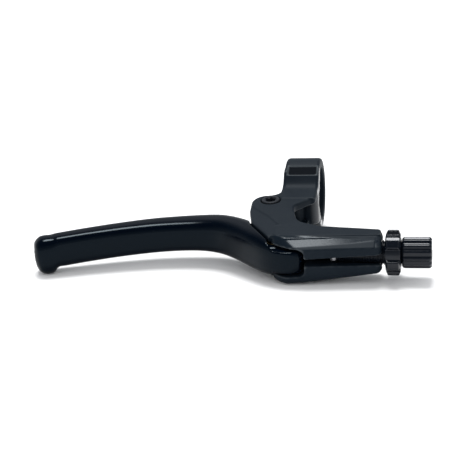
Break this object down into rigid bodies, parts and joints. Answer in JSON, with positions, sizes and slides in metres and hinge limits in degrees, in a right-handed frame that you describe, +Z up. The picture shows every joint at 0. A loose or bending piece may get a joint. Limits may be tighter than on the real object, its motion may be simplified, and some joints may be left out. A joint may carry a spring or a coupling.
{
  "type": "clutch lever",
  "caption": "Black handlebar clutch lever: clamp bracket, curved blade on a vertical pivot, swivelling cable anchor, reach screw and threaded cable adjuster with lock ring.",
  "frame": {"origin": "on the handlebar's axis, inside the clamp band", "axes": "+X along the bar towards the cable adjuster, +Y towards the rider, +Z up along the lever's pivot axis"},
  "size_m": [0.1612, 0.0833, 0.0306],
  "materials": {
    "black_paint": "satin black paint over cast alloy",
    "gloss_black_paint": "gloss black paint over cast alloy",
    "black_steel": "black oxide",
    "bright_steel": "zinc plated",
    "black_anodised": "black anodised",
    "brass": "turned",
    "nylon": "moulded"
  },
  "bodies": {
    "bracket": {"bracket": "black_paint", "pivot_bolt": "black_steel", "pivot_sleeve": "bright_steel", "pivot_nut": "black_steel", "upper_washer": "bright_steel", "lower_washer": "bright_steel", "clamp_washer": "black_steel", "reach_insert": "nylon", "cable_keeper": "bright_steel"},
    "blade": {"lever_blade": "gloss_black_paint", "upper_bush": "nylon", "lower_bush": "nylon"},
    "anchor": {"cable_anchor": "brass", "anchor_washer": "bright_steel", "anchor_clip": "bright_steel"},
    "adjuster": {"adjuster_barrel": "black_anodised"},
    "lock_ring": {"lock_ring": "black_anodised"},
    "reach_screw": {"reach_screw": "black_steel"},
    "clamp_bolt": {"clamp_bolt": "black_steel"}
  },
  "joints": [
    {"name": "lever_pivot", "type": "hinge", "parent": "bracket", "child": "blade", "pos_m": [-0.0107, -0.026, 0], "axis": [0, 0, -1], "range_deg": [0, 24]},
    {"name": "anchor_swivel", "type": "hinge", "parent": "blade", "child": "anchor", "pos_m": [-0.005, -0.057, 0], "axis": [0, 0, 1], "range_deg": [0, 24]},
    {"name": "adjuster_travel", "type": "slide", "parent": "bracket", "child": "adjuster", "axis": [1, 0, 0], "range_m": [0, 0.007]},
    {"name": "lock_ring_turn", "type": "hinge", "parent": "bracket", "child": "lock_ring", "pos_m": [0.0412, -0.057, 0], "axis": [1, 0, 0], "continuous": true},
    {"name": "reach_screw_travel", "type": "slide", "parent": "bracket", "child": "reach_screw", "axis": [-1, 0, 0], "range_m": [0, 0.003]},
    {"name": "clamp_bolt_travel", "type": "slide", "parent": "bracket", "child": "clamp_bolt", "axis": [0, 0, -1], "range_m": [0, 0.003]}
  ],
  "couplings": [
    {"joint": "anchor_swivel", "follows": "lever_pivot", "ratio": 1}
  ]
}
